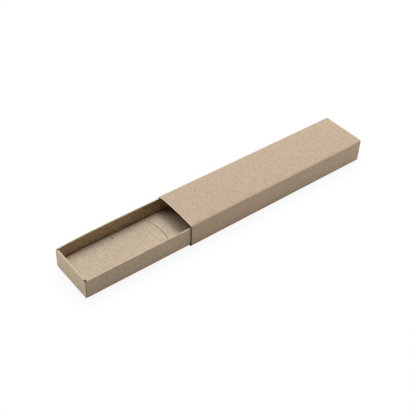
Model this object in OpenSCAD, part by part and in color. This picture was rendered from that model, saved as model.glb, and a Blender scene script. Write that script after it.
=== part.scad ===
// Sliding drawer gift box made of three folded pieces of kraft board: a sleeve that is
// open at both ends, a drawer with rolled double walls, and a raised floor that stands in
// the drawer and has two curved slits with a holding band between them.
// Millimetres. +Z is up, the drawer pulls out towards -Y, and +X is the box's right side.
// The origin is the middle of the sleeve's underside.

/* [Board] */
// Thickness of the board
board_t = 0.45; // [0.35:0.05:0.6]
// Air between two layers of board that lie against each other
layer_slack = 0.05; // [0.02:0.01:0.1]

/* [Sleeve] */
// Length of the sleeve
sleeve_l = 180; // [150:5:220]
// Outer width of the sleeve
sleeve_w = 41; // [32:1:60]
// Outer height of the sleeve
sleeve_h = 20.5; // [17:0.5:30]
// Inside radius of the sleeve's folds
sleeve_crease_r = 0.55; // [0.3:0.05:0.8]
// Width of the glue flap, which lies on the bottom panel
glue_flap_w = 12; // [8:1:16]
// How far the glue flap's ends stand back from the sleeve's ends
glue_flap_inset = 3; // [1:0.5:8]
// How much each end of the glue flap tapers over its width
glue_flap_taper = 4; // [0:0.5:8]
// How far the bottom panel's cut edge stands back from the sleeve's left side
cut_edge_setback = 0.3; // [0:0.1:0.6]

/* [Drawer] */
// Length of the drawer
drawer_l = 178; // [150:1:220]
// How far the drawer stands out of the sleeve in the modelled position
pull_out = 90.5; // [20:0.5:130]
// Gap between the drawer's side and the sleeve, on each side
side_clearance = 0.4; // [0.1:0.05:0.8]
// Gap between the drawer's underside and the glue flap that it slides on
slide_clearance = 0.05; // [0.03:0.01:0.2]
// Gap between the drawer's rim and the sleeve's top panel
roof_clearance = 1.75; // [0.5:0.05:3]
// Inside radius of the folds along the drawer's base and at its upright corners
base_crease_r = 0.3; // [0.2:0.05:0.5]
// Inside radius of the two folds of a rim
rim_crease_r = 0.05; // [0.02:0.01:0.07]
// Air between the two layers of a long wall
side_wall_air = 0.15; // [0.15:0.01:0.3]
// Length of a corner tab's flat part
corner_tab_l = 15; // [8:1:17]
// How far a corner tab stays below the drawer's rim
corner_tab_drop = 2; // [1:0.25:4]
// How far a corner tab stays above the drawer's base
corner_tab_lift = 0.5; // [0.2:0.1:2]
// Open stretch between the end of an end wall's rim and the long wall's inner face
corner_gap = 0.4; // [0.1:0.05:1]

/* [Locking tongues] */
// Width of a locking tongue under an end wall's inner layer
tongue_w = 6; // [4:0.5:8]
// Distance between the middles of the two tongues of an end wall
tongue_spacing = 18; // [12:1:22]
// Gap all round a tongue in its slot
tongue_clearance = 0.1; // [0.05:0.01:0.15]

/* [Raised floor] */
// Height of the raised floor's face above the drawer's base
platform_h = 6; // [3:0.5:8]
// Gap between the raised floor and the drawer's inner faces
platform_gap = 0.5; // [0.3:0.1:1]
// Inside radius of the raised floor's folds
platform_crease_r = 0.45; // [0.2:0.05:0.6]
// Radius of the curved slits
slit_r = 34; // [26:1:60]
// Width of the cut of a slit
slit_w = 0.3; // [0.2:0.05:0.5]
// Distance between a slit's end and the raised floor's long edge
slit_margin = 2; // [1.5:0.1:5]
// Width of the holding band at its waist, between the two slits
band_waist = 21; // [12:1:40]

/* [Hidden] */
$fn = 64;

left = -1;
right = 1;
front = -1;
rear = 1;

sleeve_color = [0.78, 0.70, 0.61];
drawer_color = [0.73, 0.65, 0.56];
rim_color = [0.82, 0.74, 0.65];
tab_color = [0.64, 0.55, 0.45];
platform_color = [0.77, 0.69, 0.59];
leg_color = [0.68, 0.59, 0.49];

// Outer radii of the folds
sleeve_fold_r = board_t + sleeve_crease_r;
base_fold_r = board_t + base_crease_r;
rim_fold_r = board_t + rim_crease_r;
platform_fold_r = board_t + platform_crease_r;

// The drawer rests on the glue flap, which rests on the sleeve's bottom panel.
drawer_z = 2 * board_t + slide_clearance;
drawer_top = sleeve_h - board_t - roof_clearance;
drawer_w = sleeve_w - 2 * board_t - 2 * side_clearance;
drawer_front_y = -sleeve_l / 2 - pull_out;
base_face_z = drawer_z + board_t;

// A long wall is two layers of board, and an end wall is three: outer wall, tab, inner wall.
side_wall_t = 2 * board_t + side_wall_air;
tab_layer_y = board_t + layer_slack;
inner_layer_y = 2 * tab_layer_y;
end_wall_t = inner_layer_y + board_t;

// The long walls start behind the fold that turns into the corner tab.
side_wall_start = tab_layer_y + base_fold_r;
end_rim_half = drawer_w / 2 - side_wall_t - corner_gap;
inner_end_half = drawer_w / 2 - side_wall_t - layer_slack;
inner_wall_z = base_face_z + layer_slack;

platform_half_w = drawer_w / 2 - side_wall_t - platform_gap;
platform_half_l = drawer_l / 2 - end_wall_t - platform_gap;
platform_z = base_face_z + platform_h;
slit_half_span = platform_half_w - slit_margin;
slit_centre_y = slit_r + band_waist / 2;
// Cutting bodies reach this far past what they cut.
through = 1;

// ---- sections in two dimensions ----

// Slice of a fold's ring about the origin, between two angles at most 90 degrees apart.
module fold_slice(r, from, to) {
    reach = 2 * r;
    mid = (from + to) / 2;
    intersection() {
        difference() {
            circle(r);
            circle(r - board_t);
        }
        polygon([
            [0, 0],
            reach * [cos(from), sin(from)],
            reach * [cos(mid), sin(mid)] / cos((to - from) / 2),
            reach * [cos(to), sin(to)]
        ]);
    }
}

// Upright strip of board with its outer face at 0 and half a fold at each end that has a radius.
module upright_strip(low, high, r_low, r_high) {
    translate([0, low + r_low]) square([board_t, high - low - r_low - r_high]);
    if (r_low > 0) translate([r_low, low + r_low]) fold_slice(r_low, 180, 225);
    if (r_high > 0) translate([r_high, high - r_high]) fold_slice(r_high, 135, 180);
}

// Level strip with its outer face up at 0, between two ends.
module upper_strip(start, end, r_start, r_end) {
    translate([start + r_start, -board_t]) square([end - start - r_start - r_end, board_t]);
    if (r_start > 0) translate([start + r_start, -r_start]) fold_slice(r_start, 90, 135);
    if (r_end > 0) translate([end - r_end, -r_end]) fold_slice(r_end, 45, 90);
}

// Level strip with its outer face down at 0, between two ends.
module lower_strip(start, end, r_start, r_end) {
    mirror([0, 1]) upper_strip(start, end, r_start, r_end);
}

// ---- placing ----

// Extrudes a section in X and Z along Y.
module along_y(from, to) {
    translate([0, to, 0]) rotate([90, 0, 0]) linear_extrude(to - from) children();
}

// Extrudes a section in Y and Z along X.
module along_x(from, to) {
    translate([from, 0, 0]) rotate([90, 0, 90]) linear_extrude(to - from) children();
}

// Puts what is drawn inwards from 0 along X at one side of a box of the given width.
module at_side(side, width) {
    if (side == left) translate([-width / 2, 0, 0]) children();
    else translate([width / 2, 0, 0]) mirror([1, 0, 0]) children();
}

// Moves to the middle of the drawer's length, at the level of the sleeve's underside.
module in_drawer() {
    translate([0, drawer_front_y + drawer_l / 2, 0]) children();
}

// Puts what is drawn inwards from 0 along Y at one end of the drawer.
module at_drawer_end(end) {
    in_drawer() {
        if (end == front) translate([0, -drawer_l / 2, 0]) children();
        else translate([0, drawer_l / 2, 0]) mirror([0, 1, 0]) children();
    }
}

// ---- sleeve ----

module sleeve_top() {
    color(sleeve_color)
        translate([0, 0, sleeve_h])
            along_y(-sleeve_l / 2, sleeve_l / 2)
                upper_strip(-sleeve_w / 2, sleeve_w / 2, sleeve_fold_r, sleeve_fold_r);
}

// The bottom panel ends in a cut edge at the left, under the fold of the glue flap.
module sleeve_bottom() {
    color(sleeve_color)
        along_y(-sleeve_l / 2, sleeve_l / 2)
            lower_strip(-sleeve_w / 2 + cut_edge_setback, sleeve_w / 2, 0, sleeve_fold_r);
}

module sleeve_right_side() {
    color(sleeve_color)
        at_side(right, sleeve_w)
            along_y(-sleeve_l / 2, sleeve_l / 2)
                upright_strip(0, sleeve_h, sleeve_fold_r, sleeve_fold_r);
}

module sleeve_left_side() {
    color(sleeve_color)
        at_side(left, sleeve_w)
            along_y(-sleeve_l / 2, sleeve_l / 2)
                upright_strip(board_t, sleeve_h, sleeve_fold_r, sleeve_fold_r);
}

// Folds in from the left side and is glued on the bottom panel.
module sleeve_glue_flap() {
    half_l = sleeve_l / 2 - glue_flap_inset;
    color(tab_color)
        at_side(left, sleeve_w)
            translate([sleeve_fold_r, 0, board_t]) {
                along_y(-half_l, half_l)
                    translate([0, sleeve_fold_r]) fold_slice(sleeve_fold_r, 225, 270);
                linear_extrude(board_t)
                    polygon([
                        [0, -half_l],
                        [glue_flap_w, -half_l + glue_flap_taper],
                        [glue_flap_w, half_l - glue_flap_taper],
                        [0, half_l]
                    ]);
            }
}

// ---- drawer ----

// Slot in the base for one tongue of an end wall's inner layer.
module tongue_slot(x) {
    slot_w = tongue_w + 2 * tongue_clearance;
    slot_t = board_t + 2 * tongue_clearance;
    translate([x - slot_w / 2, inner_layer_y - tongue_clearance, drawer_z - through])
        cube([slot_w, slot_t, board_t + 2 * through]);
}

module drawer_base() {
    half_flat_l = drawer_l / 2 - base_fold_r;
    half_flat_w = drawer_w / 2 - base_fold_r;
    half_side_l = drawer_l / 2 - side_wall_start;
    color(drawer_color)
        difference() {
            union() {
                in_drawer() translate([0, 0, drawer_z]) {
                    translate([-half_flat_w, -half_flat_l, 0])
                        cube([2 * half_flat_w, 2 * half_flat_l, board_t]);
                    for (side = [left, right])
                        at_side(side, drawer_w)
                            along_y(-half_side_l, half_side_l)
                                translate([base_fold_r, base_fold_r]) fold_slice(base_fold_r, 225, 270);
                }
                for (end = [front, rear])
                    at_drawer_end(end)
                        along_x(-half_flat_w, half_flat_w)
                            translate([base_fold_r, drawer_z + base_fold_r])
                                fold_slice(base_fold_r, 225, 270);
            }
            for (end = [front, rear], place = [-1, 1])
                at_drawer_end(end) tongue_slot(place * tongue_spacing / 2);
        }
}

// A long wall's three layers run the same length, and section is drawn inwards from the outer face.
module long_wall_layer(side, layer_color) {
    half_l = drawer_l / 2 - side_wall_start;
    color(layer_color)
        in_drawer() at_side(side, drawer_w) along_y(-half_l, half_l) children();
}

module drawer_long_outer_wall(side) {
    long_wall_layer(side, drawer_color)
        upright_strip(drawer_z, drawer_top, base_fold_r, rim_fold_r);
}

module drawer_long_rim(side) {
    long_wall_layer(side, rim_color)
        translate([0, drawer_top]) upper_strip(0, side_wall_t, rim_fold_r, rim_fold_r);
}

module drawer_long_inner_wall(side) {
    long_wall_layer(side, drawer_color)
        translate([side_wall_t, 0]) mirror([1, 0]) upright_strip(inner_wall_z, drawer_top, 0, rim_fold_r);
}

// The outer layer of an end wall covers the corners, and its folds stop short of them.
module drawer_end_outer_wall(end) {
    half_w = drawer_w / 2;
    fold_half_w = half_w - base_fold_r;
    color(drawer_color)
        at_drawer_end(end) {
            translate([-half_w, 0, drawer_z + base_fold_r])
                cube([2 * half_w, board_t, drawer_top - rim_fold_r - drawer_z - base_fold_r]);
            along_x(-fold_half_w, fold_half_w)
                translate([base_fold_r, drawer_z + base_fold_r]) fold_slice(base_fold_r, 180, 225);
            along_x(-end_rim_half, end_rim_half)
                translate([rim_fold_r, drawer_top - rim_fold_r]) fold_slice(rim_fold_r, 135, 180);
        }
}

module drawer_end_rim(end) {
    color(rim_color)
        at_drawer_end(end)
            along_x(-end_rim_half, end_rim_half)
                translate([0, drawer_top]) upper_strip(0, end_wall_t, rim_fold_r, rim_fold_r);
}

// The inner layer of an end wall holds itself down with two tongues in the base.
module drawer_end_inner_wall(end) {
    color(drawer_color)
        at_drawer_end(end) {
            translate([-inner_end_half, inner_layer_y, inner_wall_z])
                cube([2 * inner_end_half, board_t, drawer_top - rim_fold_r - inner_wall_z]);
            along_x(-end_rim_half, end_rim_half)
                translate([end_wall_t - rim_fold_r, drawer_top - rim_fold_r]) fold_slice(rim_fold_r, 0, 45);
            for (place = [-1, 1])
                translate([place * tongue_spacing / 2 - tongue_w / 2, inner_layer_y, drawer_z])
                    cube([tongue_w, board_t, inner_wall_z - drawer_z]);
        }
}

// A corner tab is folded from a long wall's end and lies between an end wall's two layers.
module corner_tab(end, side) {
    fold_low = drawer_z + base_fold_r;
    fold_high = drawer_top - rim_fold_r;
    tab_low = base_face_z + corner_tab_lift;
    tab_high = drawer_top - corner_tab_drop;
    color(tab_color)
        at_drawer_end(end) at_side(side, drawer_w) {
            translate([base_fold_r, side_wall_start, fold_low])
                linear_extrude(fold_high - fold_low) fold_slice(base_fold_r, 180, 270);
            translate([base_fold_r, tab_layer_y, tab_low])
                cube([corner_tab_l, board_t, tab_high - tab_low]);
        }
}

// ---- raised floor ----

// Curved slit whose middle is nearest to the other slit, on the drawer's front or rear half.
module curved_slit(end) {
    intersection() {
        translate([0, end * slit_centre_y, platform_z - board_t - through])
            difference() {
                cylinder(h = board_t + 2 * through, r = slit_r + slit_w / 2);
                translate([0, 0, -through])
                    cylinder(h = board_t + 4 * through, r = slit_r - slit_w / 2);
            }
        translate([-slit_half_span, end > 0 ? 0 : -slit_centre_y, platform_z - board_t - through])
            cube([2 * slit_half_span, slit_centre_y, board_t + 2 * through]);
    }
}

module platform_top() {
    half_flat_w = platform_half_w - platform_fold_r;
    half_flat_l = platform_half_l - platform_fold_r;
    color(platform_color)
        in_drawer() difference() {
            union() {
                translate([0, 0, platform_z])
                    along_y(-half_flat_l, half_flat_l)
                        upper_strip(-platform_half_w, platform_half_w, platform_fold_r, platform_fold_r);
                for (end = [0, 1])
                    mirror([0, end, 0])
                        along_x(-half_flat_w, half_flat_w)
                            translate([half_flat_l, platform_z - platform_fold_r])
                                fold_slice(platform_fold_r, 45, 90);
            }
            curved_slit(front);
            curved_slit(rear);
        }
}

module platform_long_leg(side) {
    half_l = platform_half_l - platform_fold_r;
    color(leg_color)
        in_drawer() at_side(side, 2 * platform_half_w)
            along_y(-half_l, half_l)
                upright_strip(inner_wall_z, platform_z, 0, platform_fold_r);
}

module platform_end_leg(end) {
    half_w = platform_half_w - platform_fold_r;
    color(leg_color)
        at_drawer_end(end)
            translate([0, end_wall_t + platform_gap, 0])
                along_x(-half_w, half_w)
                    upright_strip(inner_wall_z, platform_z, 0, platform_fold_r);
}

// ---- nodes ----

sleeve_top();
sleeve_bottom();
sleeve_right_side();
sleeve_left_side();
sleeve_glue_flap();
drawer_base();
drawer_long_outer_wall(right);  // drawer_right_outer_wall
drawer_long_rim(right);  // drawer_right_rim
drawer_long_inner_wall(right);  // drawer_right_inner_wall
drawer_long_outer_wall(left);  // drawer_left_outer_wall
drawer_long_rim(left);  // drawer_left_rim
drawer_long_inner_wall(left);  // drawer_left_inner_wall
drawer_end_outer_wall(front);  // drawer_front_outer_wall
drawer_end_rim(front);  // drawer_front_rim
drawer_end_inner_wall(front);  // drawer_front_inner_wall
drawer_end_outer_wall(rear);  // drawer_rear_outer_wall
drawer_end_rim(rear);  // drawer_rear_rim
drawer_end_inner_wall(rear);  // drawer_rear_inner_wall
corner_tab(front, right);  // corner_tab_front_right
corner_tab(front, left);  // corner_tab_front_left
corner_tab(rear, right);  // corner_tab_rear_right
corner_tab(rear, left);  // corner_tab_rear_left
platform_top();
platform_long_leg(right);  // platform_right_leg
platform_long_leg(left);  // platform_left_leg
platform_end_leg(front);  // platform_front_leg
platform_end_leg(rear);  // platform_rear_leg
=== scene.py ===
"""Looks of a sliding drawer gift box of folded kraft board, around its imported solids.

Metres throughout. +Z is up, the drawer pulls out towards -Y, +X is the box's right side.
Every folded piece is a sheet of board with real thickness, swept along its section.
"""

import math

import bpy
from mathutils import Matrix, Vector, noise


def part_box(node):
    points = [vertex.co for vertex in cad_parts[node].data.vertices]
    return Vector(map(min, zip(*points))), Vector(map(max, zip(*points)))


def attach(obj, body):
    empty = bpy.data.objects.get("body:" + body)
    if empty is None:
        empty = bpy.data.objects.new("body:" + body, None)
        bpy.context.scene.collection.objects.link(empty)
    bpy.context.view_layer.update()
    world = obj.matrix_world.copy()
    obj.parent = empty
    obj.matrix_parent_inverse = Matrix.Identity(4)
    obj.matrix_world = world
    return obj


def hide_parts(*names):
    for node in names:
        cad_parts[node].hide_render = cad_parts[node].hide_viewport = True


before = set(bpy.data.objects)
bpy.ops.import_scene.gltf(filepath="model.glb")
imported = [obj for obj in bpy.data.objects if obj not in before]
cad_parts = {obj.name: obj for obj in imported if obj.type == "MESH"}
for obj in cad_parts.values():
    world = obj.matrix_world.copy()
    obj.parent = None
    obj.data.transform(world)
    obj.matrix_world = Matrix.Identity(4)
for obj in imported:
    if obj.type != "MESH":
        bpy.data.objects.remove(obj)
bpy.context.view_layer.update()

MM = 0.001

# ---- sizes that repeat the solids' own ----

BOARD_T = 0.45 * MM
HALF_T = BOARD_T / 2
LAYER_SLACK = 0.05 * MM
SIDE_WALL_AIR = 0.15 * MM
BASE_FOLD_R = 0.75 * MM
RIM_FOLD_R = 0.5 * MM
PLATFORM_FOLD_R = 0.9 * MM
GLUE_FLAP_INSET = 3 * MM
GLUE_FLAP_TAPER = 4 * MM
CORNER_TAB_L = 15 * MM
CORNER_TAB_DROP = 3.5 * MM
CORNER_TAB_LIFT = 0.5 * MM
TONGUE_W = 6 * MM
TONGUE_SPACING = 18 * MM
TONGUE_CLEARANCE = 0.1 * MM
SLIT_R = 34 * MM
SLIT_MARGIN = 2 * MM
BAND_WAIST = 21 * MM

# ---- looks' own sizes ----

SLEEVE_LEFT_FOLD_R = 1.0 * MM
SLEEVE_RIGHT_FOLD_R = 1.4 * MM
SLEEVE_BOTTOM_FOLD_R = 0.9 * MM
# The right top fold waves in by up to this much, over this length, and how far from it that is
# felt. The seed picks the stretch of noise that it follows.
FOLD_WAVE = 0.5 * MM
FOLD_WAVE_L = 24 * MM
FOLD_WAVE_REACH = 3 * MM
FOLD_WAVE_SEED = (0.3, 0.7)
# The top panel's cut edge at the mouth stands back in its middle, most of all at this X, and how
# far in that is felt.
MOUTH_SETBACK = 0.55 * MM
MOUTH_SETBACK_X = -6 * MM
MOUTH_SETBACK_REACH = 9 * MM
# The mouth's top corners stand forward, by this much at the left and right, and how far from
# them that is felt.
LEFT_FLARE = 0.65 * MM
RIGHT_FLARE = 0.4 * MM
FLARE_REACH = 6 * MM
# At the rear end the right top fold is crisper, and the right side leans in.
REAR_CRISP = 0.35 * MM
REAR_LEAN = 0.5 * MM
REAR_REACH = 14 * MM
# Painted light along the mouth: a pale painted highlight on the top panel, and painted shade on the
# sides.
MOUTH_HIGHLIGHT = 0.6
MOUTH_HIGHLIGHT_REACH = 1.8 * MM
MOUTH_SHADE = -2.2
MOUTH_SHADE_REACH = 1.1 * MM
# Shares of that painted shade at the sides' foot, and how much of it is gone at their top.
MOUTH_SHADE_LOW = 1.25
MOUTH_SHADE_FALL = 0.5
# Painted shade: dark spots low down on the sleeve's sides, at the mouth, where the opening by the
# drawer's foot is dark.
MOUTH_SHADE_SPOT_Z = 2.2 * MM
MOUTH_SHADE_SPOT_R = 1.1 * MM
# The drawer's left wall stands out in the middle and in at its ends, most of all at the front one.
WALL_BOW = 0.25 * MM
FRONT_INSET = 0.55 * MM
FRONT_INSET_SHARE = 0.3
# How much closer to the left wall the raised floor's edge stands.
PLATFORM_LEFT_OUT = 0.2 * MM
PLATFORM_LEFT_FOLD_R = 0.4 * MM
# The left rim is highest in the middle, and the right one a little below the solids' level one.
LEFT_RIM_CROWN = 1.25 * MM
LEFT_RIM_CROWN_POWER = 3
RIM_DROP = 0.5 * MM
# The drawer's upright corners, and how far an end rim stops short of the side wall's inner face.
CORNER_FOLD_R = 1.05 * MM
CORNER_OPEN = 0.9 * MM
# How far below the rims an upright corner's fold ends, at the wall and at its tab.
CORNER_FOLD_DROP = 0.3 * MM
CORNER_FOLD_SLOPE = 2.5 * MM
# Painted shade of the dark hole inside each corner: where it is from the walls' outer faces and the
# rims.
CORNER_SHADE_SPOT = Vector((1.35, 1.05, 0.9)) * MM
CORNER_SHADE_SPOT_R = 1.15 * MM
# A corner tab's free end tapers by this much, from this share of its length on.
TAB_END_TAPER = 3 * MM
TAB_TAPER_FROM = 0.7
# The raised floor's slits, and how far the band between them stands up at its free edges.
SLIT_W = 0.32 * MM
BAND_LIFT = 0.3 * MM
BAND_LIFT_REACH = 5 * MM
# A chip of bark in the raised floor's face.
BARK_CHIP_X = -14.0 * MM
BARK_CHIP_Y = -136.4 * MM
BARK_CHIP_R = 0.75 * MM
# How much a fold is made pale by wear and a painted highlight; below 0, how much painted shade darkens
# it.
RUBBED_AND_LIT, RUBBED_AND_LIT_A_LITTLE, SHADED_FOLD = 1.0, 0.35, -0.64


def span(*nodes):
    """Lowest and highest corner of the box round these nodes."""
    boxes = [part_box(n) for n in nodes]
    low = Vector([min(b[0][k] for b in boxes) for k in range(3)])
    high = Vector([max(b[1][k] for b in boxes) for k in range(3)])
    return low, high


LEFT, RIGHT, FRONT, REAR = -1, 1, -1, 1
SIDE_NAMES = {LEFT: "left", RIGHT: "right"}
END_NAMES = {FRONT: "front", REAR: "rear"}

sleeve_low, sleeve_high = span("sleeve_top", "sleeve_bottom", "sleeve_right_side", "sleeve_left_side")
drawer_low, drawer_high = span("drawer_front_outer_wall", "drawer_rear_outer_wall", "drawer_right_rim")
platform_low, platform_high = span("platform_front_leg", "platform_rear_leg", "platform_right_leg",
                                   "platform_left_leg", "platform_top")
glue_flap_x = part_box("sleeve_glue_flap")[1].x

SLEEVE_HALF_L = (sleeve_high.y - sleeve_low.y) / 2
DRAWER_Y = (drawer_low.y + drawer_high.y) / 2
DRAWER_HALF_L = (drawer_high.y - drawer_low.y) / 2
DRAWER_HALF_W = (drawer_high.x - drawer_low.x) / 2
DRAWER_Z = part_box("drawer_base")[0].z
DRAWER_TOP = drawer_high.z
SIDE_WALL_T = 2 * BOARD_T + SIDE_WALL_AIR
TAB_LAYER_Y = BOARD_T + LAYER_SLACK
INNER_LAYER_Y = 2 * TAB_LAYER_Y
END_WALL_T = INNER_LAYER_Y + BOARD_T
SIDE_WALL_START = TAB_LAYER_Y + CORNER_FOLD_R
END_RIM_HALF = DRAWER_HALF_W - SIDE_WALL_T - CORNER_OPEN
INNER_END_HALF = DRAWER_HALF_W - SIDE_WALL_T - LAYER_SLACK
INNER_WALL_Z = DRAWER_Z + BOARD_T + LAYER_SLACK
PLATFORM_HALF_W = (platform_high.x - platform_low.x) / 2
PLATFORM_HALF_L = (platform_high.y - platform_low.y) / 2
PLATFORM_Z = platform_high.z

# ---- camera ----

# Azimuth from -Y round to +X, height above the level and roll of the photograph's view.
CAMERA_AZIMUTH = math.radians(48.949)
CAMERA_ELEVATION = math.radians(41.706)
CAMERA_ROLL = math.radians(3.633)
# Where the camera stands from the middle of the sleeve's mouth, at its foot.
CAMERA_FROM_MOUTH = Vector((347.00, -269.77, 416.76)) * MM
FOCAL_PX = 796.04
PHOTO_PX = 416
SENSOR_MM = 36.0
CLIP_START = 0.01
CLIP_END = 20


def add_camera():
    """The photograph's camera, which looks at the box from its front right."""
    data = bpy.data.cameras.new("photo_camera")
    data.sensor_width = SENSOR_MM
    data.lens = SENSOR_MM * FOCAL_PX / PHOTO_PX
    data.clip_start = CLIP_START
    data.clip_end = CLIP_END
    camera = bpy.data.objects.new("photo_camera", data)
    bpy.context.scene.collection.objects.link(camera)
    az, el = CAMERA_AZIMUTH, CAMERA_ELEVATION
    back = Vector((math.sin(az) * math.cos(el), -math.cos(az) * math.cos(el), math.sin(el)))
    right = Vector((math.cos(az), math.sin(az), 0))
    up = back.cross(right)
    c, s = math.cos(CAMERA_ROLL), math.sin(CAMERA_ROLL)
    rolled_right = c * right + s * up
    rolled_up = c * up - s * right
    turn = Matrix((rolled_right, rolled_up, back)).transposed()
    place = CAMERA_FROM_MOUTH + Vector((0, sleeve_low.y, 0))
    camera.matrix_world = Matrix.Translation(place) @ turn.to_4x4()
    bpy.context.scene.camera = camera


# ---- sections of folded board ----

# How far apart a sheet's rows and columns are: across it, along it and round the slits.
STEP = 1.6 * MM
LONG_STEP = 2 * MM
SLIT_STEP = 0.8 * MM
# Steps round a fold and up a corner tab.
FOLD_STEPS = 8
TAB_STEPS = 6
# The raised floor's columns, as shares of what is between a slit and an end, or the two slits.
END_SHARE_STEP = 0.03
BAND_SHARE_STEP = 0.07
# A long wall's end columns, as shares of how far in it starts.
LONG_WALL_END_SHARES = (1.0, 1.1, 1.2)
# An end wall's side edges: a strip where its columns spread to the stretches' own widths.
END_WALL_EDGE_W = 1 * MM
END_WALL_EDGE_SHARES = (0.5, 0.8, 1.0)
# Straight board that leads into a fold at which a sheet starts.
LEAD_IN = 0.001 * MM
# What rounding may do to a number of steps, and to a place.
STEP_ROUNDING = 1e-6
PLACE_ROUNDING = 1e-7
SHARP_ANGLE = math.radians(50)
# The places of a board's three finishes in its mesh.
FACE, CUT_EDGE, BACK = 0, 1, 2
# Stretches of board that face into the drawer, where painted shade makes them darker and browner.
PAINTED_SHADE_PARTS = ("inner",)


def places_between(start, end, step=STEP, stops=()):
    """Even places from start to end that also meet every stop."""
    knots = sorted({start, end, *stops}, reverse=end < start)
    made = [start]
    for a, b in zip(knots, knots[1:]):
        count = max(1, math.ceil(abs(b - a) / step - STEP_ROUNDING))
        made += [a + (b - a) * k / count for k in range(1, count + 1)]
    return made


def both_ways(half, step=STEP, stops=()):
    """Even places from -half to half that also meet every stop on both sides."""
    return places_between(-half, half, step, [*stops, *(-s for s in stops), 0.0])


def turned(v, angle):
    """A section's vector, turned by an angle."""
    c, s = math.cos(angle), math.sin(angle)
    return Vector((c * v.x - s * v.y, s * v.x + c * v.y))


class Row:
    """One line of a sheet, across its sweep: a point and a normal of the section there."""

    def __init__(self, point, normal, fold, part):
        self.point = point
        self.normal = normal
        self.fold = fold
        self.part = part


def folded_path(corners, folds, parts, step=STEP, stops=None):
    """Rows of a folded board's section.

    corners are the points where the straight middle lines cross. folds gives each inner corner's
    outer radius and marking, which is above 0 where a fold is made pale by wear and painted
    highlight, and below 0 where painted shade darkens it. parts names each straight stretch, and a
    fold belongs to "fold". The normal is to the left of the way along the path. stops has more
    distances along a named stretch, measured from its middle.
    """
    pts = [Vector(c) for c in corners]
    rows = []
    start = pts[0]
    for k in range(1, len(pts)):
        way = (pts[k] - pts[k - 1]).normalized()
        left = Vector((-way.y, way.x))
        last = k == len(pts) - 1
        turn, cut, radius, marking = 0.0, 0.0, 0.0, 0.0
        if not last:
            after = (pts[k + 1] - pts[k]).normalized()
            turn = math.atan2(way.x * after.y - way.y * after.x, way.dot(after))
            radius, marking = folds[k - 1][0] - HALF_T, folds[k - 1][1]
            cut = radius * math.tan(abs(turn) / 2)
        end = pts[k] - way * cut
        length = (end - start).length
        part = parts[k - 1]
        more = [length / 2 + s for s in (stops or {}).get(part, ())]
        for d in places_between(0.0, length, step, more):
            rows.append(Row(start + way * d, left, 0.0, part))
        if last:
            break
        side = 1 if turn > 0 else -1
        centre = end + left * side * radius
        arm = end - centre
        for m in range(1, FOLD_STEPS):
            angle = turn * m / FOLD_STEPS
            marked = marking * math.sin(math.pi * m / FOLD_STEPS)
            rows.append(Row(centre + turned(arm, angle), turned(left, angle), marked, "fold"))
        start = centre + turned(arm, turn)
    return rows


def along_x(point, place):
    """A section's point, in (Y, Z), at a place along X."""
    return Vector((place, point.x, point.y))


def along_y(point, place):
    """A section's point, in (X, Z), at a place along Y."""
    return Vector((point.x, place, point.y))


def along_z(point, place):
    """A section's point, in (X, Y), at a place along Z."""
    return Vector((point.x, point.y, place))


def board(name, rows, places, lay, body, nodes, slot, left_out=None, bend=None, marking=None,
          outward=1):
    """A sheet of board with both faces and all cut edges, as one closed mesh.

    The slot's finishes are for the outer face, the cut edges and the back. places(row) gives a
    row's places along the sweep, as many for each row, and lay puts a section's point in space.
    left_out(i, j) says whether the cell from row i and column j on is cut away. bend(point, row)
    moves the middle surface, and marking(point) adds painted highlight and painted shade to the
    folds' own marks. outward is -1 where the rows' normals point to the back.
    """
    grid = []  # for each row and column, a point on the outer face and one on the back
    for row in rows:
        line = []
        out = lay(row.normal, 0.0) * outward
        for place in places(row):
            middle = lay(row.point, place)
            if bend:
                middle = middle + bend(middle, row)
            line.append((middle + out * HALF_T, middle - out * HALF_T))
        grid.append(line)
    n_rows, n_cols = len(grid), len(grid[0])
    assert all(len(line) == n_cols for line in grid), name
    kept = {
        (i, j)
        for i in range(n_rows - 1)
        for j in range(n_cols - 1)
        if not (left_out and left_out(i, j))
    }
    verts, folds, painted_inner_shade, number = [], [], [], {}

    def vertex(i, j, face):
        key = (i, j, face)
        if key not in number:
            number[key] = len(verts)
            verts.append(grid[i][j][face])
            folds.append(rows[i].fold + (marking(grid[i][j][face]) if marking else 0.0))
            painted_inner_shade.append(1.0 if rows[i].part in PAINTED_SHADE_PARTS else 0.0)
        return number[key]

    faces, finish_of = [], []
    for i, j in sorted(kept):
        ring = ((i, j), (i + 1, j), (i + 1, j + 1), (i, j + 1))
        faces.append([vertex(*at, 0) for at in ring])
        faces.append([vertex(*at, 1) for at in (ring[0], ring[3], ring[2], ring[1])])
        finish_of += [FACE, BACK]
        # Each side of the cell: the cell beyond it and the side's two corners.
        sides = (
            ((i, j - 1), ring[0], ring[1]),
            ((i, j + 1), ring[2], ring[3]),
            ((i - 1, j), ring[3], ring[0]),
            ((i + 1, j), ring[1], ring[2]),
        )
        for beyond, a, b in sides:
            if beyond not in kept:
                faces.append([vertex(*b, 0), vertex(*a, 0), vertex(*a, 1), vertex(*b, 1)])
                finish_of.append(CUT_EDGE)
    mesh = bpy.data.meshes.new(name)
    mesh.from_pydata([tuple(v) for v in verts], [], faces)
    for attribute, values in (("fold", folds), ("painted_inner_shade", painted_inner_shade)):
        mesh.attributes.new(attribute, "FLOAT", "POINT").data.foreach_set("value", values)
    mesh.polygons.foreach_set("material_index", finish_of)
    mesh.polygons.foreach_set("use_smooth", [True] * len(faces))
    if mesh.polygons[0].normal.dot(lay(rows[0].normal, 0.0) * outward) < 0:
        mesh.flip_normals()
    mesh.set_sharp_from_angle(angle=SHARP_ANGLE)
    mesh.update()
    piece = bpy.data.objects.new(name, mesh)
    bpy.context.scene.collection.objects.link(piece)
    for finish in FINISHES[slot]:
        mesh.materials.append(finish)
    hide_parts(*nodes)
    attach(piece, body)


# ---- materials ----

# The Mix node's sockets for colours.
MIX_SHARE, MIX_A, MIX_B, MIX_RESULT = 0, 6, 7, 2


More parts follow.
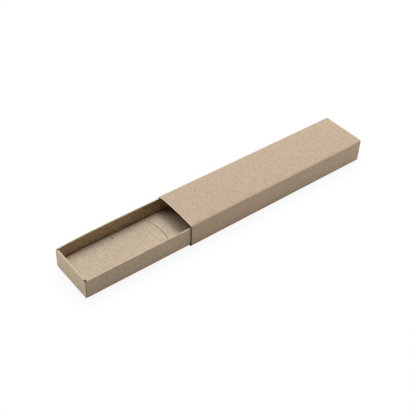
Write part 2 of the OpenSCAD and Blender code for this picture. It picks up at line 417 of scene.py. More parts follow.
class Nodes:
    """Short way to write the nodes of a material or a world."""

    def __init__(self, owner):
        owner.use_nodes = True
        self.tree = owner.node_tree
        self.tree.nodes.clear()

    def add(self, kind, inputs=None, **settings):
        """A new node. Each input is a plain value or another node's output."""
        node = self.tree.nodes.new("ShaderNode" + kind)
        for key, value in settings.items():
            setattr(node, key, value)
        for key, value in (inputs or {}).items():
            self.put(node.inputs[key], value)
        return node

    def put(self, socket, value):
        if isinstance(value, bpy.types.NodeSocket):
            self.tree.links.new(value, socket)
        else:
            socket.default_value = value

    def noise(self, where, scale, detail, roughness, distortion=0.0):
        made = self.add(
            "TexNoise",
            {"Vector": where, "Scale": scale, "Detail": detail, "Roughness": roughness,
             "Distortion": distortion},
        )
        return made.outputs["Fac"]

    def stretched(self, where, turn, squeeze):
        """Places turned and squeezed, so that a pattern is drawn out the other way."""
        made = self.add("Mapping", {"Vector": where, "Rotation": turn, "Scale": squeeze})
        return made.outputs["Vector"]

    def math(self, operation, a, b, clamp=False):
        made = self.add("Math", {0: a, 1: b}, operation=operation, use_clamp=clamp)
        return made.outputs[0]

    def ramp(self, value, low, high, to_low=0.0, to_high=1.0):
        """A value that goes from to_low at low to to_high at high, and stays there beyond."""
        made = self.add(
            "MapRange",
            {"Value": value, "From Min": low, "From Max": high, "To Min": to_low, "To Max": to_high},
        )
        return made.outputs["Result"]

    def mix(self, share, a, b, blend="MIX"):
        made = self.add("Mix", data_type="RGBA", blend_type=blend)
        self.put(made.inputs[MIX_SHARE], share)
        self.put(made.inputs[MIX_A], a)
        self.put(made.inputs[MIX_B], b)
        return made.outputs[MIX_RESULT]


def srgb(red, green, blue):
    """Linear colour of an sRGB one given from 0 to 255."""
    made = []
    for c in (red / 255, green / 255, blue / 255):
        made.append(c / 12.92 if c <= 0.04045 else ((c + 0.055) / 1.055) ** 2.4)
    return (*made, 1.0)


SLEEVE_KRAFT = srgb(200, 178, 155)
DRAWER_KRAFT = srgb(204, 185, 162)
PLATFORM_KRAFT = srgb(202, 185, 163)
BACK_KRAFT = srgb(165, 138, 108)
# Fold marks: a pale colour for wear and painted highlight, and a dark brown for painted shade.
HIGHLIGHT_AND_RUB_PALE = srgb(236, 220, 196)
PAINTED_SHADE_BROWN = srgb(84, 64, 42)
EDGE_PALE = srgb(214, 194, 168)
EDGE_DEEP = srgb(176, 150, 120)
# The sleeve's cut edges: near black, painted shade of the dark gap and inside at the mouth.
EDGE_DARK_PALE = srgb(60, 41, 26)
EDGE_DARK_DEEP = srgb(32, 20, 12)
# Painted shade on cut edges, where their marking is below 0.
EDGE_PAINTED_SHADE = srgb(26, 16, 10)
# The colour of a blot: the raised floor's chip of bark, and the painted shade of the sleeve's and the
# drawer's dark spots.
BLOT_AND_SHADE_BROWN = srgb(78, 54, 34)

# What parts of the pulp do to the board's own colour.
EVEN = (1.0, 1.0, 1.0, 1)
PALE_PULP = (1.19, 1.24, 1.26, 1)
BROWN_PULP = (0.64, 0.57, 0.48, 1)
PINK_PULP = (1.055, 0.975, 1.0, 1)
GREEN_PULP = (0.92, 1.015, 0.93, 1)
DARK_FIBRE = (0.32, 0.24, 0.15, 1)
PALE_FIBRE = (1.34, 1.48, 1.57, 1)
# Painted shade on the drawer's inner walls: their colour is multiplied by this.
INNER_SHADE_BROWN = (0.83, 0.79, 0.675, 1)

# The pulp's patterns: scale in cycles to a metre, detail, roughness and distortion.
PATTERNS = {
    "clouds": (95.0, 3.0, 0.5),
    "tint": (210.0, 2.0, 0.5),
    "blotch": (430.0, 2.0, 0.5),
    "mottle": (620.0, 5.0, 0.62, 0.4),
    "grain": (2600.0, 3.0, 0.6),
}
# Tones laid over one another: a pattern, its values where the tone starts and is full, how much of
# it shows there, and what it does. Those of the second list go with a board's contrast.
TONES = (
    ("clouds", 0.35, 0.65, 0.16, PALE_PULP),
    ("tint", 0.40, 0.62, 0.45, PINK_PULP),
    ("tint", 0.56, 0.34, 0.35, GREEN_PULP),
)
CONTRAST_TONES = (
    ("blotch", 0.52, 0.68, 0.16, BROWN_PULP),
    ("blotch", 0.48, 0.32, 0.22, PALE_PULP),
    ("mottle", 0.52, 0.72, 0.42, BROWN_PULP),
    ("mottle", 0.47, 0.30, 0.38, PALE_PULP),
)
SLEEVE_CONTRAST = 1.1
DRAWER_CONTRAST = 1.3
PLATFORM_CONTRAST = 1.4

# Turns of the layers of fibres, one after another dark and pale, and how a layer is squeezed.
FIBRE_TURNS = ((0.3, 0.5, 0.15), (0.2, -0.4, 1.25), (0.9, 0.3, -0.75), (-0.6, 0.8, 2.1))
FIBRE_SQUEEZE = (2200.0, 260.0, 2200.0)
FIBRE_PATTERN = (1.0, 2.0, 0.5)
# How much the first layer's fibres wind, and how much more each further one's do.
FIBRE_WINDING = 0.2
FIBRE_WINDING_STEP = 0.1
# A cut edge's plies lie flat, so their pattern is squeezed along Z.
PLY_SQUEEZE = (3000.0, 3000.0, 9000.0)
PLY_PATTERN = (1.0, 3.0, 0.6)

# Flecks sit in the cells of a pattern, in those that the cell's own random value picks.
FLECK_SCALE = 420.0
FLECK_SHARE = 0.55

# Ramps: a pattern's values at both ends, and what they turn into where that isn't 0 and 1.
INNER_SHADE_RAMP = (0.42, 0.62, 0.0, 0.55)
FIBRE_RAMP = (0.66, 0.76, 0.0, 0.37)
PLY_RAMP = (0.38, 0.62)
FLECK_RIM_RAMP = (0.085, 0.055)
FLECK_PICK_RAMP = (0.93, 0.96)
HIGHLIGHT_AND_RUB_RAMP = (0.3, 0.62, 0.45, 0.95)
PAINTED_SHADE_RAMP = (0.3, 0.7, -0.35, -0.6)
ROUGHNESS_RAMP = (0.3, 0.7, 0.82, 0.94)

# What a cut edge's marking, below 0 where it has painted shade, is multiplied by to give that shade's
# share.
EDGE_SHADE_SHARE = -0.5
# A blot's rim, in radii with the grain's raggedness added, and how dark it is inside.
BLOT_RIM_OUTER = 1.6
BLOT_RIM_INNER = 1.1
BLOT_SHARE = 0.95

# How high each pattern stands in the felted bump.
MOTTLE_RELIEF = 0.5
GRAIN_RELIEF = 0.35
FIBRE_RELIEF = 0.6
PLY_RELIEF = 1.2
BUMP_STRENGTH = 0.55
BUMP_DEPTH = 0.06 * MM
SPECULAR = 0.08


def pulp_tones(n, pattern, contrast, painted_inner_shade):
    """What the pulp's clouds, tints and mottle do to a board's colour, with painted shade where it faces
    into the drawer.
    """
    pulp = EVEN
    for tones, strength in ((TONES, 1.0), (CONTRAST_TONES, contrast)):
        for key, starts, full, share, tone in tones:
            pulp = n.mix(n.ramp(pattern[key], starts, full, 0.0, share * strength), pulp, tone)
    # Painted shade: brown blotches where the board faces into the drawer.
    deep = n.math("MULTIPLY", painted_inner_shade, n.ramp(pattern["blotch"], *INNER_SHADE_RAMP))
    return n.mix(deep, pulp, BROWN_PULP)


def with_fibres(n, where, pulp, height):
    """The pulp and its height with layers of short fibres."""
    for k, turn in enumerate(FIBRE_TURNS):
        winding = FIBRE_WINDING + FIBRE_WINDING_STEP * k
        strand = n.noise(n.stretched(where, turn, FIBRE_SQUEEZE), *FIBRE_PATTERN, winding)
        share = n.ramp(strand, *FIBRE_RAMP)
        pulp = n.mix(share, pulp, PALE_FIBRE if k % 2 else DARK_FIBRE)
        height = n.math("ADD", height, n.math("MULTIPLY", share, FIBRE_RELIEF))
    return pulp, height


def with_flecks(n, where, pulp):
    """The pulp with small dark flecks."""
    cells = n.add("TexVoronoi", {"Vector": where, "Scale": FLECK_SCALE, "Randomness": 1.0}, feature="F1")
    fleck = n.ramp(cells.outputs["Distance"], *FLECK_RIM_RAMP)
    random_value = n.add("SeparateColor", {"Color": cells.outputs["Color"]}).outputs[0]
    picked = n.math("MULTIPLY", fleck, n.ramp(random_value, *FLECK_PICK_RAMP))
    return n.mix(n.math("MULTIPLY", picked, FLECK_SHARE), pulp, DARK_FIBRE)


def with_wear_and_painted_light(n, colour, fold, painted_inner_shade, mottle):
    """A face's colour, made pale by wear and painted highlight, darkened by painted shade, and browner
    with painted shade where it faces into the drawer.
    """
    highlight_and_rub = n.math("MULTIPLY", fold, n.ramp(mottle, *HIGHLIGHT_AND_RUB_RAMP), clamp=True)
    colour = n.mix(highlight_and_rub, colour, HIGHLIGHT_AND_RUB_PALE)
    painted_shade = n.math("MULTIPLY", fold, n.ramp(mottle, *PAINTED_SHADE_RAMP), clamp=True)
    colour = n.mix(painted_shade, colour, PAINTED_SHADE_BROWN)
    return n.mix(painted_inner_shade, colour, n.mix(1.0, colour, INNER_SHADE_BROWN, blend="MULTIPLY"))


def edge_colour(n, edge, ply, fold):
    """A cut edge's colour: its two tones by plies, and painted shade where its marking is below 0."""
    colour = n.mix(n.ramp(ply, *PLY_RAMP), *edge)
    painted_shade = n.math("MULTIPLY", fold, EDGE_SHADE_SHARE, clamp=True)
    return n.mix(painted_shade, colour, EDGE_PAINTED_SHADE)


def with_blot_and_shade_spots(n, where, colour, grain, blot):
    """A colour with a ragged dark blot at an offset from a centre, mirrored to all its sides: a chip of
    bark, and spots of painted shade.
    """
    centre, offset, radius = blot
    aside = n.add("VectorMath", {0: where, 1: centre}, operation="SUBTRACT").outputs["Vector"]
    mirrored = n.add("VectorMath", {0: aside}, operation="ABSOLUTE").outputs["Vector"]
    away = n.add("VectorMath", {0: mirrored, 1: offset}, operation="DISTANCE").outputs["Value"]
    ragged = n.math("ADD", away, n.math("MULTIPLY", grain, radius))
    dark = n.ramp(ragged, BLOT_RIM_OUTER * radius, BLOT_RIM_INNER * radius, 0.0, BLOT_SHARE)
    return n.mix(dark, colour, BLOT_AND_SHADE_BROWN)


def kraft(name, body=None, contrast=1.0, edge=None, blot=None):
    """Uncoated kraft board: cloudy pulp, short fibres, dark flecks and a felted bump.

    A face is given by its body's colour, and a cut edge by the two colours of its plies. blot is
    a centre, an offset from it and a radius.
    """
    material = bpy.data.materials.new(name)
    n = Nodes(material)
    where = n.add("TexCoord").outputs["Object"]
    fold = n.add("Attribute", attribute_name="fold").outputs["Fac"]
    painted_inner_shade = n.add("Attribute", attribute_name="painted_inner_shade").outputs["Fac"]
    pattern = {key: n.noise(where, *shape) for key, shape in PATTERNS.items()}
    mottle, grain = pattern["mottle"], pattern["grain"]

    height = n.math("MULTIPLY", mottle, MOTTLE_RELIEF)
    height = n.math("ADD", height, n.math("MULTIPLY", grain, GRAIN_RELIEF))
    pulp = pulp_tones(n, pattern, contrast, painted_inner_shade)
    pulp, height = with_fibres(n, where, pulp, height)
    if edge:
        ply = n.noise(n.stretched(where, (0, 0, 0), PLY_SQUEEZE), *PLY_PATTERN)
        colour = edge_colour(n, edge, ply, fold)
        height = n.math("ADD", height, n.math("MULTIPLY", ply, PLY_RELIEF))
    else:
        colour = n.mix(1.0, body, with_flecks(n, where, pulp), blend="MULTIPLY")
        colour = with_wear_and_painted_light(n, colour, fold, painted_inner_shade, mottle)
    if blot:
        colour = with_blot_and_shade_spots(n, where, colour, grain, blot)

    bump = n.add("Bump", {"Height": height, "Strength": BUMP_STRENGTH, "Distance": BUMP_DEPTH})
    shader = n.add(
        "BsdfPrincipled",
        {
            "Base Color": colour,
            "Roughness": n.ramp(mottle, *ROUGHNESS_RAMP),
            "Normal": bump.outputs["Normal"],
            "Specular IOR Level": SPECULAR,
        },
    )
    n.add("OutputMaterial", {"Surface": shader.outputs[0]})
    return material


def finishes(name, body, contrast, edge, blot):
    """Materials of one board's outer face, cut edges and back."""
    return (
        kraft(f"{name}_kraft", body, contrast, blot=blot),
        kraft(f"{name}_cut_edge", edge=edge, blot=blot),
        kraft(f"{name}_back", BACK_KRAFT),
    )


PALE_EDGE = (EDGE_DEEP, EDGE_PALE)
# The sleeve's cut edges carry painted shade.
PAINTED_SHADE_EDGE = (EDGE_DARK_DEEP, EDGE_DARK_PALE)
# Each blot's centre, its offset from there and its radius. Those at the mouth and in the drawer's
# corners are painted shade, and the bark chip is a mark of the board.
MOUTH_SHADE_SPOTS = (Vector((0, sleeve_low.y, 0)), Vector((sleeve_high.x, 0, MOUTH_SHADE_SPOT_Z)), MOUTH_SHADE_SPOT_R)
CORNER_SHADE_SPOTS = (
    Vector((0, DRAWER_Y, 0)),
    Vector((DRAWER_HALF_W, DRAWER_HALF_L, DRAWER_TOP)) - CORNER_SHADE_SPOT,
    CORNER_SHADE_SPOT_R,
)
BARK_CHIP = (Vector((BARK_CHIP_X, BARK_CHIP_Y, PLATFORM_Z)), Vector(), BARK_CHIP_R)
FINISHES = {
    "sleeve_board": finishes("sleeve", SLEEVE_KRAFT, SLEEVE_CONTRAST, PAINTED_SHADE_EDGE, MOUTH_SHADE_SPOTS),
    "drawer_board": finishes("drawer", DRAWER_KRAFT, DRAWER_CONTRAST, PALE_EDGE, CORNER_SHADE_SPOTS),
    "platform_board": finishes("platform", PLATFORM_KRAFT, PLATFORM_CONTRAST, PALE_EDGE, BARK_CHIP),
}

# ---- sleeve ----


def mouth_set(at):
    """How far back the mouth's edge stands: most near its middle, and forward at its top corners."""
    from_mouth = max(0.0, 1 - (at.y - sleeve_low.y) / MOUTH_SETBACK_REACH)
    back = 0.0
    if at.z > (sleeve_low.z + sleeve_high.z) / 2:
        aside = (at.x - MOUTH_SETBACK_X) / (sleeve_high.x - sleeve_low.x)
        back = MOUTH_SETBACK * max(0.0, 1 - 4 * aside**2) * from_mouth
    for edge_x, flare in ((sleeve_low.x, LEFT_FLARE), (sleeve_high.x, RIGHT_FLARE)):
        away = (Vector((at.x, at.z)) - Vector((edge_x, sleeve_high.z))).length
        back -= flare * max(0.0, 1 - away / FLARE_REACH) * from_mouth
    return back


def sleeve_set(at, row):
    """How far a point of the sleeve's board is from the true box.

    The right top fold waves in, or stands out at the rear end where the side leans in. It never
    leaves the box, and the mouth's edge is uneven.
    """
    corner = Vector((sleeve_high.x, sleeve_high.z))
    near = max(0.0, 1 - (Vector((at.x, at.z)) - corner).length / FOLD_WAVE_REACH)
    wave = 0.5 + 0.5 * noise.noise(Vector((at.y / FOLD_WAVE_L, *FOLD_WAVE_SEED)))
    at_rear = max(0.0, 1 - (sleeve_high.y - at.y) / REAR_REACH) ** 2
    outward = REAR_CRISP * at_rear - FOLD_WAVE * wave * (1 - at_rear)
    outward *= near * (2 - near) * math.sqrt(0.5)
    room = corner - Vector((HALF_T, HALF_T)) - Vector((at.x, at.z))
    lean = REAR_LEAN * at_rear * at.z / sleeve_high.z * max(0.0, at.x / sleeve_high.x)
    return Vector((min(outward, room.x) - lean, mouth_set(at), min(outward, room.y)))


def mouth_painted_light(at):
    """Along the mouth the top panel gets a painted highlight, and the sides painted shade, most of all
    low down.
    """
    from_mouth = at.y - sleeve_low.y
    if at.z > sleeve_high.z - BOARD_T:
        return MOUTH_HIGHLIGHT * max(0.0, 1 - from_mouth / MOUTH_HIGHLIGHT_REACH)
    if abs(at.x) < sleeve_high.x - BOARD_T:
        return 0.0
    low_down = MOUTH_SHADE_LOW - MOUTH_SHADE_FALL * at.z / sleeve_high.z
    return MOUTH_SHADE * low_down * min(1.0, max(0.0, 1 - from_mouth / MOUTH_SHADE_REACH))


def build_sleeve():
    """One blank from the glue flap's free edge round to the bottom panel's cut edge."""
    low, high = sleeve_low, sleeve_high
    left_x, right_x = low.x + HALF_T, high.x - HALF_T
    top_z, bottom_z = high.z - HALF_T, low.z + HALF_T
    flap_z = bottom_z + BOARD_T
    cut_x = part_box("sleeve_bottom")[0].x
    corners = [
        (glue_flap_x, flap_z), (left_x, flap_z), (left_x, top_z),
        (right_x, top_z), (right_x, bottom_z), (cut_x, bottom_z),
    ]
    # The bottom folds are darkened with painted shade.
    bottom_fold = (SLEEVE_BOTTOM_FOLD_R, SHADED_FOLD)
    left_fold = (SLEEVE_LEFT_FOLD_R, 0.0)
    right_fold = (SLEEVE_RIGHT_FOLD_R, RUBBED_AND_LIT_A_LITTLE)
    folds = [bottom_fold, left_fold, right_fold, bottom_fold]
    rows = folded_path(corners, folds, ["flap", "left", "top", "right", "bottom"])
    marked = [SLEEVE_HALF_L - MOUTH_HIGHLIGHT_REACH, SLEEVE_HALF_L - MOUTH_SHADE_REACH]
    shares = [y / SLEEVE_HALF_L for y in both_ways(SLEEVE_HALF_L, LONG_STEP, marked)]
    flap_w = glue_flap_x - low.x - SLEEVE_BOTTOM_FOLD_R

    def places(row):
        half = SLEEVE_HALF_L
        if row.part == "flap":
            out = (row.point.x - low.x - SLEEVE_BOTTOM_FOLD_R) / flap_w
            half -= GLUE_FLAP_INSET + GLUE_FLAP_TAPER * out
        return [half * s for s in shares]

    board("sleeve_board", rows, places, along_y, "sleeve",
          ["sleeve_top", "sleeve_bottom", "sleeve_right_side", "sleeve_left_side", "sleeve_glue_flap"],
          "sleeve_board", bend=sleeve_set, marking=mouth_painted_light)


# ---- drawer ----


def left_wall_shift(along, up):
    """How far the left wall is moved along X, at shares of its half length and its height."""
    bow = WALL_BOW * (1 - 2 * along**2) * (0.5 + 0.5 * up)
    inset = FRONT_INSET * max(0.0, 1 - (1 + along) / FRONT_INSET_SHARE) ** 2
    return inset - bow


def drawer_set(at, row):
    """How far a point of the drawer's board is from the true box: bowed walls and uneven rims."""
    along = (at.y - DRAWER_Y) / DRAWER_HALF_L
    across = at.x / DRAWER_HALF_W
    up = min(1.0, max(0.0, (at.z - DRAWER_Z) / (DRAWER_TOP - DRAWER_Z)))
    to_left = 0.5 - 0.5 * across
    crown = LEFT_RIM_CROWN * (1 - abs(along) ** LEFT_RIM_CROWN_POWER) * to_left
    drop = RIM_DROP * (1 - to_left)
    return Vector((to_left * left_wall_shift(along, up), 0, up * (crown - drop)))


def build_drawer_long_walls():
    """Base, long outer walls, rims and long inner walls, as one folded strip."""
    outer_x = DRAWER_HALF_W - HALF_T
    inner_x = DRAWER_HALF_W - SIDE_WALL_T + HALF_T
    base_z, rim_z = DRAWER_Z + HALF_T, DRAWER_TOP - HALF_T
    side = [(inner_x, INNER_WALL_Z), (inner_x, rim_z), (outer_x, rim_z), (outer_x, base_z)]
    corners = side + [(-x, z) for x, z in reversed(side)]
    # The rims are made pale by wear and a painted highlight, and the base folds dark by painted shade.
    folds = [(RIM_FOLD_R, RUBBED_AND_LIT), (RIM_FOLD_R, RUBBED_AND_LIT), (BASE_FOLD_R, SHADED_FOLD)]
    walls = ["inner", "rim", "outer"]
    slot_half_w = TONGUE_W / 2 + TONGUE_CLEARANCE
    slot_edges = [TONGUE_SPACING / 2 - slot_half_w, TONGUE_SPACING / 2 + slot_half_w]
    rows = folded_path(corners, folds + folds[::-1], walls + ["base"] + walls[::-1],
                       stops={"base": slot_edges + [-x for x in slot_edges]})
    slot_near = INNER_LAYER_Y - TONGUE_CLEARANCE
    slot_far = END_WALL_T + TONGUE_CLEARANCE
    base_insets = [BASE_FOLD_R, slot_near, slot_far]
    wall_insets = [SIDE_WALL_START * share for share in LONG_WALL_END_SHARES]
    middle = both_ways(DRAWER_HALF_L - 2 * slot_far, LONG_STEP)

    def places(row):
        near = [DRAWER_HALF_L - d for d in (base_insets if row.part == "base" else wall_insets)]
        line = [-y for y in near] + middle + near[::-1]
        return [DRAWER_Y + y for y in line]

    # At either end, the cells between a slot's near and far edge.
    slot_columns = (1, len(base_insets) + len(middle))

    def left_out(i, j):
        if j not in slot_columns or rows[i].part != "base" or rows[i + 1].part != "base":
            return False
        across = abs(rows[i].point.x + rows[i + 1].point.x) / 2
        return slot_edges[0] < across < slot_edges[1]

    nodes = ["drawer_base"]
    for name in SIDE_NAMES.values():
        nodes += [f"drawer_{name}_outer_wall", f"drawer_{name}_rim", f"drawer_{name}_inner_wall"]
    board("drawer_long_walls", rows, places, along_y, "drawer", nodes, "drawer_board",
          left_out=left_out, bend=drawer_set)


def build_drawer_end_wall(end):
    """Outer wall, rim, inner wall and tongues of one end, folded up from the base."""
    outer_y = DRAWER_Y + end * (DRAWER_HALF_L - HALF_T)
    inner_y = DRAWER_Y + end * (DRAWER_HALF_L - END_WALL_T + HALF_T)
    base_y = DRAWER_Y + end * (DRAWER_HALF_L - BASE_FOLD_R - LEAD_IN)
    base_z, rim_z = DRAWER_Z + HALF_T, DRAWER_TOP - HALF_T
    corners = [(base_y, base_z), (outer_y, base_z), (outer_y, rim_z), (inner_y, rim_z),
               (inner_y, INNER_WALL_Z), (inner_y, DRAWER_Z)]
    # The rims are made pale by wear and a painted highlight, and the base fold dark by painted shade.
    folds = [(BASE_FOLD_R, SHADED_FOLD), (RIM_FOLD_R, RUBBED_AND_LIT), (RIM_FOLD_R, RUBBED_AND_LIT), (HALF_T, 0.0)]
    rows = folded_path(corners, folds, ["base", "outer", "rim", "inner", "tongue"])
    tongue_edges = [TONGUE_SPACING / 2 - TONGUE_W / 2, TONGUE_SPACING / 2 + TONGUE_W / 2]
    steady = END_RIM_HALF - END_WALL_EDGE_W
    middle = both_ways(steady, LONG_STEP, tongue_edges)
    half_widths = {"outer": DRAWER_HALF_W, "rim": END_RIM_HALF, "inner": INNER_END_HALF,
                   "tongue": INNER_END_HALF, "base": DRAWER_HALF_W - BASE_FOLD_R}

    def places(row):
        half = half_widths.get(row.part)
        if half is None:  # a fold, down at the base or up at the rim
            half = half_widths["base"] if row.point.y < DRAWER_Z + BASE_FOLD_R else END_RIM_HALF
        near = [steady + (half - steady) * share for share in END_WALL_EDGE_SHARES]
        return [-x for x in reversed(near)] + middle + near

    line = places(rows[-1])

    # Only the tongues are left of the lowest stretch.
    def left_out(i, j):
        if rows[i + 1].part != "tongue" or rows[i].part not in ("tongue", "fold"):
            return False
        across = abs(line[j] + line[j + 1]) / 2
        return not tongue_edges[0] < across < tongue_edges[1]

    name = END_NAMES[end]
    board(f"drawer_{name}_wall", rows, places, along_x, "drawer",
          [f"drawer_{name}_outer_wall", f"drawer_{name}_rim", f"drawer_{name}_inner_wall"],
          "drawer_board", left_out=left_out, bend=drawer_set, outward=-end)


def build_corner_tab(end, side):
    """Fold at an upright corner and the tab that lies between an end wall's layers."""
    fold_x = side * (DRAWER_HALF_W - HALF_T)
    fold_y = DRAWER_Y + end * (DRAWER_HALF_L - SIDE_WALL_START - LEAD_IN)
    tab_y = DRAWER_Y + end * (DRAWER_HALF_L - TAB_LAYER_Y - HALF_T)
    free_x = side * (DRAWER_HALF_W - CORNER_FOLD_R - CORNER_TAB_L)
    corners = [(fold_x, fold_y), (fold_x, tab_y), (free_x, tab_y)]
    rows = folded_path(corners, [(CORNER_FOLD_R, 0.0)], ["wall", "tab"])
    fold_low, fold_high = DRAWER_Z + BASE_FOLD_R, DRAWER_TOP - CORNER_FOLD_DROP
    tab_low = DRAWER_Z + BOARD_T + CORNER_TAB_LIFT
    tab_high = DRAWER_TOP - CORNER_TAB_DROP
    shares = [k / TAB_STEPS for k in range(TAB_STEPS + 1)]

    def places(row):
        low, high = fold_low, fold_high
        if row.part == "fold":
            high -= CORNER_FOLD_SLOPE * abs(row.point.x - fold_x) / CORNER_FOLD_R
        if row.part == "tab":
            out = abs(row.point.x - fold_x) / CORNER_TAB_L
            taper = TAB_END_TAPER * max(0.0, out - TAB_TAPER_FROM) / (1 - TAB_TAPER_FROM)
            low, high = tab_low + taper, tab_high - taper
        return [low + (high - low) * s for s in shares]

    node = f"corner_tab_{END_NAMES[end]}_{SIDE_NAMES[side]}"
    board(f"{node}_board", rows, places, along_z, "drawer", [node], "drawer_board", bend=drawer_set,
          outward=-end * side)


# ---- raised floor ----


def band_lift(x, from_slit):
    """How far the holding band stands up at x, at a distance from its slit."""
    across = max(0.0, 1 - (x / (PLATFORM_HALF_W - SLIT_MARGIN)) ** 2)
    return BAND_LIFT * across * math.exp(-from_slit / BAND_LIFT_REACH)


def platform_set(at):
    """How far a point of the raised floor is from the true box: it keeps near the left wall."""
    along = (at.y - DRAWER_Y) / DRAWER_HALF_L
    up = (PLATFORM_Z - DRAWER_Z) / (DRAWER_TOP - DRAWER_Z)
    to_left = max(0.0, -at.x / PLATFORM_HALF_W)
    return Vector((to_left * (left_wall_shift(along, up) - PLATFORM_LEFT_OUT), 0, 0))


def build_platform():
    """Top panel with its two curved slits, and the long legs."""
    leg_x, top_z = PLATFORM_HALF_W - HALF_T, PLATFORM_Z - HALF_T
    corners = [(-leg_x, INNER_WALL_Z), (-leg_x, top_z), (leg_x, top_z), (leg_x, INNER_WALL_Z)]
    slit_span = PLATFORM_HALF_W - SLIT_MARGIN
    folds = [(PLATFORM_LEFT_FOLD_R, 0.0), (PLATFORM_FOLD_R, 0.0)]
    rows = folded_path(corners, folds, ["leg", "top", "leg"], SLIT_STEP,
                       stops={"top": (-slit_span, slit_span)})
    half_l = PLATFORM_HALF_L - PLATFORM_FOLD_R

    def slit_y(x):
        """How far a slit's middle line is from the drawer's middle at x."""
        held = min(abs(x), slit_span)
        return SLIT_R + BAND_WAIST / 2 - math.sqrt(SLIT_R**2 - held**2)

    outer_shares = places_between(0.0, 1.0, END_SHARE_STEP)
    band_shares = places_between(-1.0, 1.0, BAND_SHARE_STEP)

    def places(row):
        near = slit_y(row.point.x) - SLIT_W / 2
        far = slit_y(row.point.x) + SLIT_W / 2
        outer = [far + (half_l - far) * k for k in outer_shares]
        line = [-y for y in reversed(outer)] + [near * k for k in band_shares] + outer
        return [DRAWER_Y + y for y in line]

    # The cells across each slit, between the outer columns and the band's.
    slit_columns = (len(outer_shares) - 1, len(outer_shares) + len(band_shares) - 1)

    def left_out(i, j):
        if j not in slit_columns or rows[i].part != "top" or rows[i + 1].part != "top":
            return False
        return abs(rows[i].point.x + rows[i + 1].point.x) / 2 < slit_span

    def bend(at, row):
        from_slit = slit_y(at.x) - SLIT_W / 2 - abs(at.y - DRAWER_Y)
        in_band = row.part == "top" and from_slit > -PLACE_ROUNDING
        lift = band_lift(at.x, from_slit) if in_band else 0.0
        return platform_set(at) + Vector((0, 0, lift))

    board("raised_floor", rows, places, along_y, "platform",
          ["platform_top", "platform_right_leg", "platform_left_leg"], "platform_board",
          left_out=left_out, bend=bend)


def build_platform_end_leg(end):
    """End fold of the raised floor and the leg under it."""
    edge_y = DRAWER_Y + end * (PLATFORM_HALF_L - PLATFORM_FOLD_R - LEAD_IN)
    leg_y = DRAWER_Y + end * (PLATFORM_HALF_L - HALF_T)
    top_z = PLATFORM_Z - HALF_T
    corners = [(edge_y, top_z), (leg_y, top_z), (leg_y, INNER_WALL_Z)]
    rows = folded_path(corners, [(PLATFORM_FOLD_R, 0.0)], ["top", "leg"])
    line = both_ways(PLATFORM_HALF_W - PLATFORM_FOLD_R)
    node = f"platform_{END_NAMES[end]}_leg"
    board(f"{node}_board", rows, lambda row: line, along_x, "platform", [node], "platform_board",
          bend=lambda at, row: platform_set(at), outward=end)


# ---- stage and light ----

# The floor's white in the picture: a share that takes light and shadow, and a glow that makes up
# the rest out to FLOOR_GLOW_REACH and grows to full white at FLOOR_WHITE_FROM. Light that the
# floor gives back to the box has a colour of its own.
SHADOW_SHARE = 0.10
FLOOR_GLOW = 0.91
FLOOR_GLOW_REACH = 0.25
FLOOR_WHITE_FROM = 1.0
WHITE = (1, 1, 1, 1)
FLOOR_BOUNCE = (0.78, 0.76, 0.71, 1)
FLOOR_REACH = 3.0


def rays_that_see(n):
    """1 for a ray from the camera, off a gloss or through glass, and 0 for one that carries light."""
    path = n.add("LightPath").outputs
    seen = path["Is Camera Ray"]
    for ray in ("Is Glossy Ray", "Is Transmission Ray"):
        seen = n.math("MAXIMUM", seen, path[ray])
    return seen


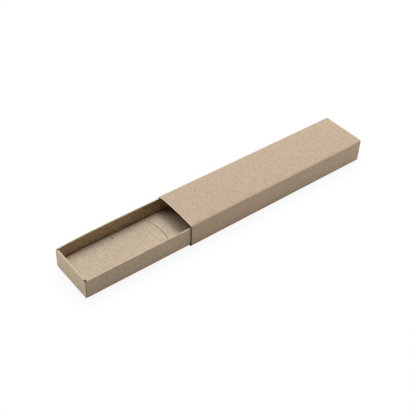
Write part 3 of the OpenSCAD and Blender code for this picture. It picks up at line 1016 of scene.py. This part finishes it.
def add_stage():
    """A white floor that takes a soft shadow."""
    reach = FLOOR_REACH
    mesh = bpy.data.meshes.new("floor")
    mesh.from_pydata([(-reach, -reach, 0), (reach, -reach, 0), (reach, reach, 0), (-reach, reach, 0)],
                     [], [(0, 1, 2, 3)])
    floor = bpy.data.objects.new("floor", mesh)
    bpy.context.scene.collection.objects.link(floor)
    material = bpy.data.materials.new("floor_white")
    n = Nodes(material)
    catcher = n.add("BsdfDiffuse", {"Color": (SHADOW_SHARE, SHADOW_SHARE, SHADOW_SHARE, 1)})
    where = n.add("TexCoord").outputs["Object"]
    away = n.add("VectorMath", {0: where}, operation="LENGTH").outputs["Value"]
    strength = n.ramp(away, FLOOR_GLOW_REACH, FLOOR_WHITE_FROM, FLOOR_GLOW, 1.0)
    glow = n.add("Emission", {"Color": WHITE, "Strength": strength})
    shown = n.add("AddShader", {0: catcher.outputs[0], 1: glow.outputs[0]})
    plain = n.add("BsdfDiffuse", {"Color": FLOOR_BOUNCE})
    both = n.add("MixShader", {0: rays_that_see(n), 1: plain.outputs[0], 2: shown.outputs[0]})
    n.add("OutputMaterial", {"Surface": both.outputs[0]})
    mesh.materials.append(material)


# Each lamp's name, size and power, and where it stands from the sleeve's mouth. Three soft lamps
# light what faces up, and two low cards light the front and the right side.
LAMPS = (
    ("soft_box", (1.00, 1.80), 10.5, Vector((-0.457, 0.248, 1.407))),
    ("key", (0.70, 0.90), 12.2, Vector((-0.354, 0.616, 1.321))),
    ("left_fill", (0.80, 0.80), 4.4, Vector((-0.804, -0.535, 1.148))),
    ("front_card", (0.20, 0.10), 0.42, Vector((-0.20, -0.34, 0.055))),
    ("right_card", (0.30, 0.12), 0.57, Vector((0.45, 0.35, 0.07))),
)


def add_lamp(name, size, power, offset):
    """Area lamp at an offset from the sleeve's mouth, aimed at it."""
    data = bpy.data.lights.new(name, "AREA")
    data.shape = "RECTANGLE"
    data.size, data.size_y = size
    data.energy = power
    lamp = bpy.data.objects.new(name, data)
    bpy.context.scene.collection.objects.link(lamp)
    lamp.location = Vector((0, sleeve_low.y, 0)) + offset
    lamp.rotation_euler = (-offset).to_track_quat("-Z", "Y").to_euler()


def add_world():
    """A white backdrop that is seen but gives no light of its own."""
    world = bpy.data.worlds.new("studio")
    bpy.context.scene.world = world
    n = Nodes(world)
    background = n.add("Background", {"Color": WHITE, "Strength": rays_that_see(n)})
    n.add("OutputWorld", {"Surface": background.outputs[0]})


add_camera()
build_sleeve()
build_drawer_long_walls()
for end_sign in (FRONT, REAR):
    build_drawer_end_wall(end_sign)
    build_platform_end_leg(end_sign)
    for side_sign in (LEFT, RIGHT):
        build_corner_tab(end_sign, side_sign)
build_platform()
add_stage()
add_world()
for lamp_name, lamp_size, lamp_power, lamp_offset in LAMPS:
    add_lamp(lamp_name, lamp_size, lamp_power, lamp_offset)
bpy.context.scene.view_settings.view_transform = "Standard"
